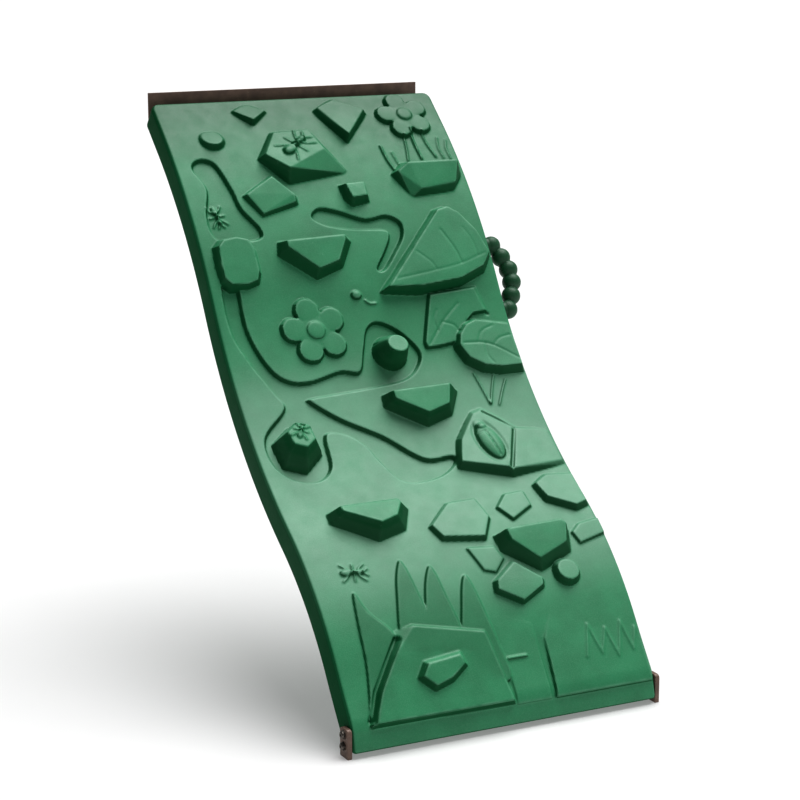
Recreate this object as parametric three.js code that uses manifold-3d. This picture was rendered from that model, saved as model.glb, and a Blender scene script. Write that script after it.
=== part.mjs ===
// Curved rock climbing wall for a playground deck: a hollow, rotationally moulded panel with
// moulded-in rock holds, a steel angle that bolts its top to the deck, two steel foot brackets,
// and a row-of-balls hand grip on its right edge.
//
// Units are millimetres. +Z is up, +X is to the climber's right, and the climbing face looks
// towards -Y. The origin is the centre of the deck angle's rear face.
//
// Places on the panel are given as [across, down] on its unrolled climbing face: across is X,
// down is the distance along the face from its top edge. A third number is the height above it.

import * as THREE from "three";
import { ConvexGeometry } from "three/addons/geometries/ConvexGeometry.js";
import { mergeVertices } from "three/addons/utils/BufferGeometryUtils.js";
import Module from "manifold-3d";

const wasm = await Module();
wasm.setup();

// ---- Driving dimensions ----

const DECK_TO_GROUND = 1362; // height of the origin above the ground
const GAP = 0.3; // clearance between pieces that touch

const PANEL_WIDTH = 808;
const PANEL_THICKNESS = 70;
const PANEL_WALL = 6; // skin of the hollow moulding
const PANEL_EDGE_RADIUS = 12;
const PANEL_SIDE_ROUNDING = 8;
const PANEL_BASE_CLEARANCE = 12; // ground to the panel's flat base
const FACET_LENGTH = 62; // longest flat facet down the curved face
const FACET_TURN = 4; // largest turn from one facet to the next, in degrees
const FACE_TOP = { y: -53, z: 13 }; // top edge of the climbing face
const FACE_ARCS = [
  // tangent arcs down the face; slopes are degrees below horizontal
  { length: 110, from: 41, to: 41 },
  { length: 510, from: 41, to: 60.5 },
  { length: 640, from: 60.5, to: 33 },
  { length: 370, from: 33, to: 56.5 },
  { length: 120, from: 56.5, to: 53.5 },
  { length: 40, from: 53.5, to: 78 },
  { length: 45, from: 78, to: 78 },
];

const KISS_OFF = { backRadius: 40, tipRadius: 24, depth: 54, sides: 8 };
const KISS_OFF_ACROSS = [-235, 0, 235];
const KISS_OFF_DOWN = [330, 620, 910, 1200, 1490];
const DRAIN_HOLES = [-300, 300];
const DRAIN_RADIUS = 6;

const INSERT = { radius: 8, waist: 7, boreRadius: 5.1, boreDepth: 17.5, length: 20 };
const INSERT_BOSS = { radius: 14, length: 27 };
const BOLT = {
  shankRadius: 4.8,
  tipChamfer: 0.8,
  headRadius: 9,
  headHeight: 5.5,
  socketRadius: 3,
  socketDepth: 3.3,
  grip: 15, // length inside the insert
};
const WASHER = { outerRadius: 10.5, holeRadius: 5.4, thickness: 2 };
const CLEARANCE_HOLE_RADIUS = 5.5;

const ROUND_SIDES = 12;
const ROUND_ROCK_SIDES = 24;
const CORNER_STEPS = 4; // straight stretches in a rounded corner
const BEND_STEPS = 3;
const OVERRUN = 1; // how far a cutting or joined shape runs past a surface
const MERGE_DISTANCE = 1e-3;

const DECK_ANGLE = { width: 780, thickness: 5, upright: 70, lower: 84, bendRadius: 6 };
const DECK_SLOT = { radius: 5.5, straight: 14, z: -8, across: [-300, -110, 110, 300] };
const DECK_ANGLE_BOLTS = [-330, -120, 120, 330];
const DECK_ANGLE_BOLT_DOWN = 62;

const FOOT = { thickness: 12, depth: 40, height: 70, cornerRadius: 10, y: -1219 };
const FOOT_BOLT_HEIGHTS = { lower: 28, upper: 55 };

const GRIP = { balls: 6, ballRadius: 25, padRadius: 21, top: 503, bottom: 687 };
const GRIP_STANDOFF = { ends: 25, arch: 33 };
const GRIP_SEAT = 34; // panel side to the face under each bolt head
const GRIP_RECESS_RADIUS = 11.5;
const BALL_SIDES = 12;
const BALL_RINGS = 8;

// Moulded holds: base is the outline where the hold meets the face, crown the outline of its top.
// A flat top has a height at its crown's middle and a rise for each millimetre across and down it;
// a top of several facets has a height at each crown corner instead.
const ROCKS = [
  {
    name: "chevron",
    base: [[-198, 46], [-146, 97], [-92, 50], [-145, 14]],
    crown: [[-190, 46], [-149, 90], [-101, 51], [-145, 23]],
    top: { height: 9, across: 0, down: 0.24 },
  },
  {
    name: "kite",
    base: [[32, 58], [104, 14], [190, 72], [96, 176]],
    crown: [[46, 53], [104, 25], [177, 70], [97, 164]],
    top: { height: 17, across: 0.01, down: 0.12 },
  },
  {
    name: "table_rock",
    base: [[-175, 212], [-112, 122], [0, 118], [70, 272], [-110, 300]],
    crown: [[-161, 217], [-107, 135], [-7, 130], [8, 208], [-112, 268]],
    top: { height: 25, across: 0.01, down: 0.19 },
  },
  {
    name: "boulder",
    base: [[182, 285], [225, 248], [395, 250], [388, 305], [348, 352], [222, 362]],
    crown: [[196, 288, 22], [232, 268, 32], [377, 270, 32], [357, 329, 18], [251, 343, 18]],
  },
  {
    name: "low_kite",
    base: [[-252, 325], [-158, 266], [-102, 335], [-103, 362], [-212, 392]],
    crown: [[-242, 324, 14], [-160, 278, 20], [-112, 336, 18], [-113, 355, 12], [-210, 382, 10]],
  },
  {
    name: "cube",
    base: [[22, 308], [98, 304], [98, 366], [45, 378], [25, 350]],
    crown: [[33, 318], [89, 315], [85, 357], [40, 362]],
    top: { height: 26, across: -0.03, down: 0.05 },
  },
  {
    name: "worn_rock",
    base: [
      [-377, 520], [-372, 466], [-350, 444], [-306, 438], [-270, 449], [-257, 480],
      [-257, 546], [-268, 576], [-302, 587], [-352, 584], [-373, 564],
    ],
    crown: [
      [-365, 520], [-361, 472], [-344, 455], [-307, 449], [-277, 458], [-267, 483],
      [-267, 543], [-276, 566], [-304, 575], [-347, 573], [-362, 557],
    ],
    top: { height: 21, across: -0.02, down: -0.04 },
  },
  {
    name: "half_hexagon",
    base: [[-203, 503], [-193, 462], [-2, 456], [13, 476], [-29, 548], [-111, 577]],
    crown: [[-180, 491], [-181, 474], [-18, 468], [-19, 482], [-50, 536], [-108, 553]],
    top: { height: 33, across: -0.01, down: -0.04 },
  },
  {
    name: "big_leaf",
    base: [
      [52, 626], [268, 402], [300, 394], [336, 416], [374, 474], [396, 546],
      [366, 594], [288, 626], [165, 640],
    ],
    crown: [
      [66, 618], [265, 416], [298, 408], [326, 428], [361, 482], [381, 546],
      [353, 582], [279, 611], [167, 622],
    ],
    top: { height: 32, across: 0, down: 0.02 },
  },
  {
    name: "edge_leaf",
    base: [
      [216, 794], [228, 758], [256, 728], [292, 716], [397, 738],
      [397, 884], [330, 884], [276, 872], [234, 842],
    ],
    crown: [
      [228, 794], [238, 764], [262, 738], [293, 727], [385, 747],
      [386, 868], [330, 868], [281, 858], [244, 832],
    ],
    top: { height: 23, across: 0, down: 0.02 },
  },
  {
    name: "left_hexagon",
    base: [[-352, 1005], [-295, 962], [-238, 980], [-232, 1050], [-290, 1098], [-345, 1075]],
    crown: [[-322, 1000], [-290, 973], [-258, 984], [-258, 1030], [-288, 1054], [-318, 1040]],
    top: { height: 42, across: -0.05, down: 0.14 },
  },
  {
    name: "middle_ledge",
    base: [[-24, 904], [168, 896], [190, 914], [149, 985], [72, 1010], [-29, 940]],
    crown: [[-12, 916], [150, 912], [130, 970], [66, 990], [-10, 941]],
    top: { height: 44, across: 0, down: -0.05 },
  },
  {
    name: "pentagon",
    base: [[130, 1054], [200, 975], [236, 967], [312, 1038], [242, 1194], [99, 1147]],
    crown: [[137, 1068], [201, 992], [227, 984], [297, 1047], [233, 1177], [108, 1135]],
    top: { height: 17, across: 0.01, down: 0.08 },
  },
  {
    name: "pentagon_slope",
    base: [[300, 1036], [400, 1052], [400, 1172], [236, 1194]],
    crown: [[297, 1047], [392, 1064], [390, 1160], [233, 1177]],
    top: { height: 10, across: -0.08, down: 0.06 },
  },
  {
    name: "lower_ledge",
    base: [
      [-294, 1230], [-250, 1214], [-96, 1210], [-78, 1246],
      [-111, 1311], [-193, 1334], [-298, 1262],
    ],
    crown: [[-270, 1242], [-117, 1240], [-114, 1254], [-140, 1292], [-188, 1308], [-268, 1260]],
    top: { height: 43, across: -0.01, down: 0.1 },
  },
  {
    name: "flat_hexagon",
    base: [[-56, 1313], [20, 1243], [104, 1240], [119, 1309], [80, 1373], [-36, 1358]],
    crown: [[-47, 1312], [23, 1251], [98, 1248], [110, 1309], [76, 1364], [-31, 1349]],
    top: { height: 12, across: 0, down: 0.04 },
  },
  {
    name: "edge_pentagon",
    base: [[270, 1226], [320, 1193], [400, 1200], [398, 1312], [356, 1325], [282, 1284]],
    crown: [[280, 1226], [323, 1203], [393, 1208], [388, 1302], [355, 1313], [290, 1276]],
    top: { height: 14, across: -0.03, down: 0.07 },
  },
  {
    name: "right_ledge",
    base: [[98, 1362], [290, 1345], [308, 1375], [290, 1438], [192, 1480], [102, 1410]],
    crown: [[123, 1367], [277, 1362], [287, 1374], [270, 1420], [185, 1451], [128, 1397]],
    top: { height: 36, across: 0, down: -0.12 },
  },
  {
    name: "low_hexagon",
    base: [[50, 1485], [121, 1435], [190, 1495], [184, 1520], [112, 1555], [45, 1513]],
    crown: [[60, 1486], [121, 1444], [180, 1496], [175, 1513], [111, 1545], [54, 1509]],
    top: { height: 15, across: -0.01, down: 0.02 },
  },
  {
    name: "ground_slab",
    base: [[-360, 1784], [-344, 1700], [-244, 1566], [-196, 1553], [-8, 1596], [24, 1786]],
    crown: [[-352, 1773], [-300, 1685], [-262, 1630], [-192, 1565], [-16, 1605], [12, 1774]],
    top: { height: 16, across: 0, down: 0 },
  },
];
const ROUND_ROCKS = [
  {
    name: "bump",
    centre: [-278, 138],
    baseRadius: 38,
    crownRadius: 27,
    top: { height: 9, across: 0, down: 0.27 },
  },
  {
    name: "knob",
    centre: [41, 786],
    baseRadius: 46,
    crownRadius: 28,
    top: { height: 52, across: 0, down: 0.25 },
  },
  {
    name: "disc",
    centre: [254, 1487],
    baseRadius: 38,
    crownRadius: 28,
    top: { height: 18, across: 0, down: 0.1 },
  },
];
const HOLLOW_ROCK_HEIGHT = 24; // holds at least this high are hollow behind
const HOLLOW_ROCK_INSET = 11;
const ROCK_ROOT = 2; // how far a hold's root reaches into the panel

// ---- Materials ----

function paint(color, roughness, metalness) {
  return new THREE.MeshStandardMaterial({ color, roughness, metalness });
}

const greenPlastic = paint(0x3a8a5f, 0.5, 0);
const brownCoat = paint(0x5a4a42, 0.55, 0.3);
const stainless = paint(0xa9aaa8, 0.35, 1);
const brass = paint(0xb08d4f, 0.4, 1);

// ---- Solids ----

function toSolid(geometry) {
  const plain = geometry.clone();
  plain.deleteAttribute("normal");
  plain.deleteAttribute("uv");
  const merged = mergeVertices(plain, MERGE_DISTANCE);
  const corners = Array.from(merged.index.array);
  const kept = [];
  for (let i = 0; i < corners.length; i += 3) {
    const [a, b, c] = corners.slice(i, i + 3);
    if (a !== b && b !== c && c !== a) {
      kept.push(a, b, c);
    }
  }
  const vertProperties = new Float32Array(merged.attributes.position.array);
  const triVerts = new Uint32Array(kept);
  return new wasm.Manifold(new wasm.Mesh({ numProp: 3, vertProperties, triVerts }));
}

function toGeometry(solid) {
  const mesh = solid.getMesh();
  const geometry = new THREE.BufferGeometry();
  geometry.setAttribute("position", new THREE.BufferAttribute(mesh.vertProperties, 3));
  geometry.setIndex(new THREE.BufferAttribute(mesh.triVerts, 1));
  geometry.computeVertexNormals();
  return geometry;
}

function unite(solids) {
  return solids.reduce((whole, piece) => whole.add(piece));
}

function cut(solid, tools) {
  return tools.reduce((rest, tool) => rest.subtract(tool), solid);
}

// A cylinder on local +Z, from z = low to z = high.
function rod(radius, low, high, sides = ROUND_SIDES, farRadius = radius) {
  const geometry = new THREE.CylinderGeometry(farRadius, radius, high - low, sides);
  return geometry.rotateX(Math.PI / 2).translate(0, 0, (low + high) / 2);
}

// A solid of revolution about local +Z; profile points are [radius, z].
function turned(profile, sides = ROUND_SIDES) {
  const points = profile.map(([radius, z]) => new THREE.Vector2(radius, z));
  return new THREE.LatheGeometry(points, sides).rotateX(Math.PI / 2);
}

// A shape drawn in (y, z), extruded across X about X = 0.
function acrossX(shape, width, bevel = 0) {
  const geometry = new THREE.ExtrudeGeometry(shape, {
    depth: width - 2 * bevel,
    curveSegments: CORNER_STEPS,
    bevelEnabled: bevel > 0,
    bevelThickness: bevel,
    bevelSize: bevel,
    bevelOffset: -bevel,
    bevelSegments: 1,
  });
  const toX = new THREE.Matrix4().makeBasis(
    new THREE.Vector3(0, 1, 0),
    new THREE.Vector3(0, 0, 1),
    new THREE.Vector3(1, 0, 0),
  );
  return geometry.translate(0, 0, bevel - width / 2).applyMatrix4(toX);
}

function outlined(points) {
  return new THREE.Shape(points.map(([y, z]) => new THREE.Vector2(y, z)));
}

function roundHole(y, z, radius) {
  const hole = new THREE.Path();
  hole.absarc(y, z, radius, 0, 2 * Math.PI, true);
  return hole;
}

// ---- The curved face ----

// Chord of a circular arc of this length that turns through the angle 2 * half.
function chord(length, half) {
  return half === 0 ? length : (length * Math.sin(half)) / half;
}

// The climbing face's point and slope at a distance down it.
function faceAt(down) {
  let { y, z } = FACE_TOP;
  let left = down;
  let slope = THREE.MathUtils.degToRad(FACE_ARCS[0].from);
  for (const [index, arc] of FACE_ARCS.entries()) {
    const last = index === FACE_ARCS.length - 1;
    const run = last ? left : Math.min(left, arc.length);
    const from = THREE.MathUtils.degToRad(arc.from);
    const turn = (THREE.MathUtils.degToRad(arc.to) - from) * (run / arc.length);
    const length = chord(run, turn / 2);
    y -= length * Math.cos(from + turn / 2);
    z -= length * Math.sin(from + turn / 2);
    slope = from + turn;
    left -= run;
    if (left <= 0) {
      break;
    }
  }
  return { y, z, slope };
}

function onPanel([across, down, height = 0]) {
  const { y, z, slope } = faceAt(down);
  return new THREE.Vector3(across, y - height * Math.sin(slope), z + height * Math.cos(slope));
}

// Turns a shape's local +Z to the face's outward normal, at a place on the panel.
function standOnPanel(place, flip = false) {
  const { slope } = faceAt(place[1]);
  const sign = flip ? -1 : 1;
  const right = new THREE.Vector3(sign, 0, 0);
  const upSlope = new THREE.Vector3(0, Math.cos(slope), Math.sin(slope));
  const outward = new THREE.Vector3().crossVectors(right, upSlope);
  return new THREE.Matrix4().makeBasis(right, upSlope, outward).setPosition(onPanel(place));
}

// Turns a shape's local +Z to point away from the panel's left (-1) or right (+1) side.
function standOnSide(side, x, y, z) {
  return new THREE.Matrix4().makeRotationY((side * Math.PI) / 2).setPosition(side * x, y, z);
}

const BASE_Z = PANEL_BASE_CLEARANCE - DECK_TO_GROUND;
const FACE_LENGTH = FACE_ARCS.reduce((sum, arc) => sum + arc.length, 0);
const HALF_WIDTH = PANEL_WIDTH / 2;

// Distances down the face at the edges of its flat facets, closer together where it bends more.
function facetEdges(start, end) {
  const edges = [];
  let down = 0;
  for (const { length, from, to } of FACE_ARCS) {
    const facets = Math.ceil(Math.max(length / FACET_LENGTH, Math.abs(to - from) / FACET_TURN));
    for (let i = 0; i < facets; i += 1) {
      edges.push(down + (length * i) / facets);
    }
    down += length;
  }
  return [start, ...edges.filter((edge) => edge > start && edge < end), end];
}

// Outline of the slab, pulled in by an inset on every side.
function slabOutline(inset) {
  const radius = PANEL_EDGE_RADIUS - inset;
  const front = -inset;
  const back = inset - PANEL_THICKNESS;
  const edges = facetEdges(inset + radius, FACE_LENGTH + PANEL_THICKNESS);
  const places = edges.map((down) => [down, front]).reverse();
  const quarter = Math.PI / 2;
  for (let i = 1; i <= CORNER_STEPS; i += 1) {
    const turn = (i * quarter) / CORNER_STEPS;
    places.push([inset + radius - radius * Math.sin(turn), front - radius + radius * Math.cos(turn)]);
  }
  for (let i = 0; i <= CORNER_STEPS; i += 1) {
    const turn = (i * quarter) / CORNER_STEPS;
    places.push([inset + radius - radius * Math.cos(turn), back + radius - radius * Math.sin(turn)]);
  }
  places.push(...edges.slice(1).map((down) => [down, back]));
  return places.map(([down, height]) => {
    const point = onPanel([0, down, height]);
    return [point.y, point.z];
  });
}

function slab(inset) {
  const bevel = Math.max(PANEL_SIDE_ROUNDING - inset, 0);
  const whole = toSolid(acrossX(outlined(slabOutline(inset)), PANEL_WIDTH - 2 * inset, bevel));
  const below = new THREE.BoxGeometry(2 * PANEL_WIDTH, 2 * PANEL_WIDTH, PANEL_WIDTH);
  below.translate(0, faceAt(FACE_LENGTH).y, BASE_Z + inset - PANEL_WIDTH / 2);
  return whole.subtract(toSolid(below));
}

// ---- The panel ----

function middleOf(points) {
  return [0, 1].map((axis) => points.reduce((sum, point) => sum + point[axis], 0) / points.length);
}

function roundRock({ name, centre, baseRadius, crownRadius, top }) {
  const ring = (radius) =>
    Array.from({ length: ROUND_ROCK_SIDES }, (_, i) => {
      const turn = (2 * Math.PI * i) / ROUND_ROCK_SIDES;
      return [centre[0] + radius * Math.cos(turn), centre[1] + radius * Math.sin(turn)];
    });
  return { name, base: ring(baseRadius), crown: ring(crownRadius), top };
}

// Gives each corner of a flat-topped rock's crown its height.
function withCrownHeights(rock) {
  if (!rock.top) {
    return rock;
  }
  const middle = middleOf(rock.crown);
  const crown = rock.crown.map(([across, down]) => {
    const rise = rock.top.across * (across - middle[0]) + rock.top.down * (down - middle[1]);
    return [across, down, rock.top.height + rise];
  });
  return { ...rock, crown };
}

function pulledIn(points, inset) {
  const middle = middleOf(points);
  return points.map(([across, down, height = 0]) => {
    const reach = Math.hypot(across - middle[0], down - middle[1]);
    const keep = 1 - inset / reach;
    return [middle[0] + (across - middle[0]) * keep, middle[1] + (down - middle[1]) * keep, height];
  });
}

function rockSolid({ base, crown }, inset = 0, drop = 0) {
  const sunk = -ROCK_ROOT - 2 * drop;
  const root = pulledIn(base, inset).map(([across, down]) => [across, down, sunk]);
  const top = pulledIn(crown, inset).map(([across, down, height]) => [across, down, height - drop]);
  return toSolid(new ConvexGeometry([...root, ...top].map(onPanel)));
}

function kissOff(across, down, wall) {
  const { backRadius, tipRadius, depth, sides } = KISS_OFF;
  const tip = depth + wall;
  const geometry = rod(backRadius + wall, -OVERRUN, tip, sides, tipRadius + wall);
  return toSolid(geometry.applyMatrix4(standOnPanel([across, down, -PANEL_THICKNESS])));
}

// Every moulded-in insert: its name, and the frame of its mouth with +Z out of the panel.
function insertFrames() {
  const frames = DECK_ANGLE_BOLTS.map((across, index) => ({
    name: `deck_angle_${index + 1}`,
    frame: standOnPanel([across, DECK_ANGLE_BOLT_DOWN, -PANEL_THICKNESS], true),
  }));
  for (const [sideName, side] of [["left", -1], ["right", 1]]) {
    for (const [level, height] of Object.entries(FOOT_BOLT_HEIGHTS)) {
      frames.push({
        name: `foot_${sideName}_${level}`,
        frame: standOnSide(side, HALF_WIDTH, FOOT.y, height - DECK_TO_GROUND),
      });
    }
  }
  for (const [end, down] of [["upper", GRIP.top], ["lower", GRIP.bottom]]) {
    const { y, z } = onPanel([0, down, -PANEL_THICKNESS / 2]);
    frames.push({ name: `grip_${end}`, frame: standOnSide(1, HALF_WIDTH, y, z) });
  }
  return frames;
}

function wallPanel() {
  const rocks = [...ROCKS, ...ROUND_ROCKS.map(roundRock)].map(withCrownHeights);
  const hollowRocks = rocks.filter(
    ({ crown }) => Math.max(...crown.map((corner) => corner[2])) >= HOLLOW_ROCK_HEIGHT,
  );
  const outer = unite([slab(0), ...rocks.map((rock) => rockSolid(rock))]);
  const inner = unite([
    slab(PANEL_WALL),
    ...hollowRocks.map((rock) => rockSolid(rock, HOLLOW_ROCK_INSET, PANEL_WALL)),
  ]);

  const bosses = insertFrames().map(({ frame }) =>
    toSolid(rod(INSERT_BOSS.radius, -INSERT_BOSS.length, OVERRUN).applyMatrix4(frame)),
  );
  const pockets = insertFrames().map(({ frame }) =>
    toSolid(rod(INSERT.radius + GAP, -INSERT.length - GAP, OVERRUN).applyMatrix4(frame)),
  );
  const kissOffs = (wall) =>
    KISS_OFF_DOWN.flatMap((down) => KISS_OFF_ACROSS.map((across) => kissOff(across, down, wall)));
  const drains = DRAIN_HOLES.map((across) => {
    const baseY = faceAt(FACE_LENGTH).y + PANEL_THICKNESS / 2;
    const hole = rod(DRAIN_RADIUS, -OVERRUN, 2 * PANEL_WALL);
    return toSolid(hole.translate(across, baseY, BASE_Z));
  });

  const cavity = cut(inner, [...bosses, ...kissOffs(PANEL_WALL)]);
  return toGeometry(cut(outer, [cavity, ...kissOffs(0), ...pockets, ...drains]));
}

// ---- Hardware ----

// Button head bolt: the head's underside is at z = 0, the shank runs down.
function boltGeometry(stack) {
  const { shankRadius, tipChamfer, headRadius, headHeight, socketRadius, socketDepth } = BOLT;
  const end = -(stack + BOLT.grip);
  return turned([
    [0, end],
    [shankRadius - tipChamfer, end],
    [shankRadius, end + tipChamfer],
    [shankRadius, 0],
    [headRadius, 0],
    [headRadius, 0.3 * headHeight],
    [0.85 * headRadius, 0.75 * headHeight],
    [0.55 * headRadius, headHeight],
    [socketRadius, headHeight],
    [socketRadius, headHeight - socketDepth],
    [0, headHeight - socketDepth],
  ]);
}

function washerGeometry() {
  const { outerRadius, holeRadius, thickness } = WASHER;
  return turned([
    [holeRadius, 0],
    [outerRadius, 0],
    [outerRadius, thickness],
    [holeRadius, thickness],
    [holeRadius, 0],
  ]);
}

// Threaded insert: its mouth is at z = 0, its blind end below.
function insertGeometry() {
  const { radius, waist, boreRadius, boreDepth, length } = INSERT;
  return turned([
    [0, -length],
    [radius, -length],
    [radius, -0.7 * length],
    [waist, -0.6 * length],
    [waist, -0.4 * length],
    [radius, -0.3 * length],
    [radius, 0],
    [boreRadius, 0],
    [boreRadius, -boreDepth],
    [0, -boreDepth],
  ]);
}

// Bent steel angle: its upright lies on the deck, its lower leg under the panel's back.
function deckAngle() {
  const { width, thickness, upright, lower, bendRadius } = DECK_ANGLE;
  const { slope } = faceAt(0);
  const corner = onPanel([0, 0, -PANEL_THICKNESS - GAP]);
  const along = new THREE.Vector2(-Math.cos(slope), -Math.sin(slope));
  const away = new THREE.Vector2(Math.sin(slope), -Math.cos(slope));
  const centreY = -thickness - bendRadius;
  const slide = (corner.y - bendRadius * away.x - centreY) / Math.cos(slope);
  const centre = new THREE.Vector2(corner.y, corner.z)
    .addScaledVector(away, -bendRadius)
    .addScaledVector(along, slide);
  const turn = Math.PI / 2 - slope;
  const bend = (radius) =>
    Array.from({ length: BEND_STEPS + 1 }, (_, i) => {
      const angle = (-turn * i) / BEND_STEPS;
      return [centre.x + radius * Math.cos(angle), centre.y + radius * Math.sin(angle)];
    });
  const legEnd = (radius) => centre.clone().addScaledVector(away, radius).addScaledVector(along, lower);
  const outline = [
    [-thickness, upright / 2],
    ...bend(bendRadius),
    legEnd(bendRadius).toArray(),
    legEnd(bendRadius + thickness).toArray(),
    ...bend(bendRadius + thickness).reverse(),
    [0, upright / 2],
  ];
  const slots = DECK_SLOT.across.map((across) => {
    const { radius, straight, z } = DECK_SLOT;
    const shape = new THREE.Shape();
    shape.absarc(straight / 2, 0, radius, -Math.PI / 2, Math.PI / 2);
    shape.absarc(-straight / 2, 0, radius, Math.PI / 2, 1.5 * Math.PI);
    const depth = 4 * thickness;
    const options = { depth, bevelEnabled: false, curveSegments: CORNER_STEPS };
    const geometry = new THREE.ExtrudeGeometry(shape, options);
    return toSolid(geometry.rotateX(Math.PI / 2).translate(across, depth / 2, z));
  });
  const holes = DECK_ANGLE_BOLTS.map((across) => {
    const frame = standOnPanel([across, DECK_ANGLE_BOLT_DOWN, -PANEL_THICKNESS], true);
    return toSolid(rod(CLEARANCE_HOLE_RADIUS, -OVERRUN, 2 * thickness).applyMatrix4(frame));
  });
  return toGeometry(cut(toSolid(acrossX(outlined(outline), width)), [...slots, ...holes]));
}

// Steel bar on the panel's side, from the ground up, with two bolt holes.
function footBracket() {
  const { thickness, depth, height, cornerRadius } = FOOT;
  const shape = new THREE.Shape();
  shape.moveTo(-depth / 2, 0);
  shape.lineTo(depth / 2, 0);
  shape.absarc(depth / 2 - cornerRadius, height - cornerRadius, cornerRadius, 0, Math.PI / 2);
  shape.absarc(cornerRadius - depth / 2, height - cornerRadius, cornerRadius, Math.PI / 2, Math.PI);
  for (const level of Object.values(FOOT_BOLT_HEIGHTS)) {
    shape.holes.push(roundHole(0, level, CLEARANCE_HOLE_RADIUS));
  }
  return acrossX(shape, thickness);
}

// Row of balls that arches off the panel's side, with a flat pad and a recessed bolt at each end.
function handGrip() {
  const { balls, ballRadius, padRadius, top, bottom } = GRIP;
  const pieces = [];
  for (let i = 0; i < balls; i += 1) {
    const t = i / (balls - 1);
    const down = THREE.MathUtils.lerp(top, bottom, t);
    const { y, z } = onPanel([0, down, -PANEL_THICKNESS / 2]);
    const standoff = GRIP_STANDOFF.ends + GRIP_STANDOFF.arch * Math.sin(Math.PI * t);
    const ball = new THREE.SphereGeometry(ballRadius, BALL_SIDES, BALL_RINGS);
    pieces.push(toSolid(ball.translate(HALF_WIDTH + standoff, y, z)));
  }
  const ends = insertFrames().filter(({ name }) => name.startsWith("grip"));
  const tools = [];
  for (const { frame } of ends) {
    pieces.push(toSolid(rod(padRadius, GAP, GRIP_STANDOFF.ends).applyMatrix4(frame)));
    tools.push(toSolid(rod(CLEARANCE_HOLE_RADIUS, -OVERRUN, 2 * GRIP_SEAT).applyMatrix4(frame)));
    tools.push(toSolid(rod(GRIP_RECESS_RADIUS, GRIP_SEAT, 2 * GRIP_SEAT).applyMatrix4(frame)));
  }
  const wall = new THREE.BoxGeometry(PANEL_WIDTH, 2 * PANEL_WIDTH, 2 * PANEL_WIDTH);
  const { y, z } = faceAt(top);
  tools.push(toSolid(wall.translate(GAP, y, z)));
  return toGeometry(cut(unite(pieces), tools));
}

// ---- The assembly ----

const group = new THREE.Group();

function addMesh(name, geometry, material, frame = null) {
  const mesh = new THREE.Mesh(geometry, material);
  mesh.name = name;
  if (frame) {
    mesh.applyMatrix4(frame);
  }
  group.add(mesh);
}

// Insert, washer and bolt in one place; seat is the height of the face under the washer.
function addFastener({ name, frame }, seat) {
  const washerBase = seat + GAP;
  const headBase = washerBase + WASHER.thickness + GAP;
  const lifted = (height) => frame.clone().multiply(new THREE.Matrix4().makeTranslation(0, 0, height));
  addMesh(`${name}_insert`, insertGeometry(), brass, frame);
  addMesh(`${name}_washer`, washerGeometry(), stainless, lifted(washerBase));
  addMesh(`${name}_bolt`, boltGeometry(headBase), stainless, lifted(headBase));
}

function seatOf(name) {
  if (name.startsWith("grip")) {
    return GRIP_SEAT;
  }
  return GAP + (name.startsWith("foot") ? FOOT.thickness : DECK_ANGLE.thickness);
}

addMesh("wall_panel", wallPanel(), greenPlastic);
addMesh("deck_angle", deckAngle(), brownCoat);
for (const [sideName, side] of [["left", -1], ["right", 1]]) {
  const across = side * (HALF_WIDTH + GAP + FOOT.thickness / 2);
  const frame = new THREE.Matrix4().makeTranslation(across, FOOT.y, -DECK_TO_GROUND);
  addMesh(`foot_bracket_${sideName}`, footBracket(), brownCoat, frame);
}
addMesh("hand_grip", handGrip(), greenPlastic);
for (const insert of insertFrames()) {
  addFastener(insert, seatOf(insert.name));
}

export default group;
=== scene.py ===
"""Looks of a moulded rock climbing wall: a relief panel, its steel brackets and its hand grip.

Places on the panel are given in millimetres on its unrolled climbing face: across is to the
climber's right from the middle, down is the distance from the top edge, and height is the
distance out of the face. Everything else is in metres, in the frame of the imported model.
"""

import functools
import math

import bmesh
import bpy
import numpy as np
from mathutils import Matrix, Vector
from mathutils.bvhtree import BVHTree


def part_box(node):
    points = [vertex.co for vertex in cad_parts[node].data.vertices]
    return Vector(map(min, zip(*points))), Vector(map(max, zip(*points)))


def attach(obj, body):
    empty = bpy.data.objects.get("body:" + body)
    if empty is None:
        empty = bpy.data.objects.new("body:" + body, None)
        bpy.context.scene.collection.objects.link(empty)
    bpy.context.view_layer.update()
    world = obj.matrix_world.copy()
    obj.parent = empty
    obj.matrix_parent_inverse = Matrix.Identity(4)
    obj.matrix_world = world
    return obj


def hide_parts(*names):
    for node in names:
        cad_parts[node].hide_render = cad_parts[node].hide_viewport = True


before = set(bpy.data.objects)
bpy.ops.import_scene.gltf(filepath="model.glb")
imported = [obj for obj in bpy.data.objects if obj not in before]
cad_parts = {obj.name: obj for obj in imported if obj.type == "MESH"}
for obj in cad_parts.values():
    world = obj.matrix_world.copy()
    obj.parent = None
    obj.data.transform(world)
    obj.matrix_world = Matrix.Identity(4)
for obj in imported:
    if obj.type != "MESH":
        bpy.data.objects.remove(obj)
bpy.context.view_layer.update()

MM = 0.001

# ---- Driving dimensions, in millimetres ----

PANEL_WIDTH = 808
PANEL_THICKNESS = 70
PANEL_BASE_Z = -1350
GROUND_Z = -1362
FACE_TOP = (-53, 13)  # y and z of the top edge
FACE_ARCS = (  # length, and slope below horizontal at the start and at the end
    (110, 41, 41), (510, 41, 60.5), (640, 60.5, 33), (370, 33, 56.5),
    (120, 56.5, 53.5), (40, 53.5, 78), (45, 78, 78),
)
FACE_LENGTH = 1833.9  # down to where the face meets the flat base

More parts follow.
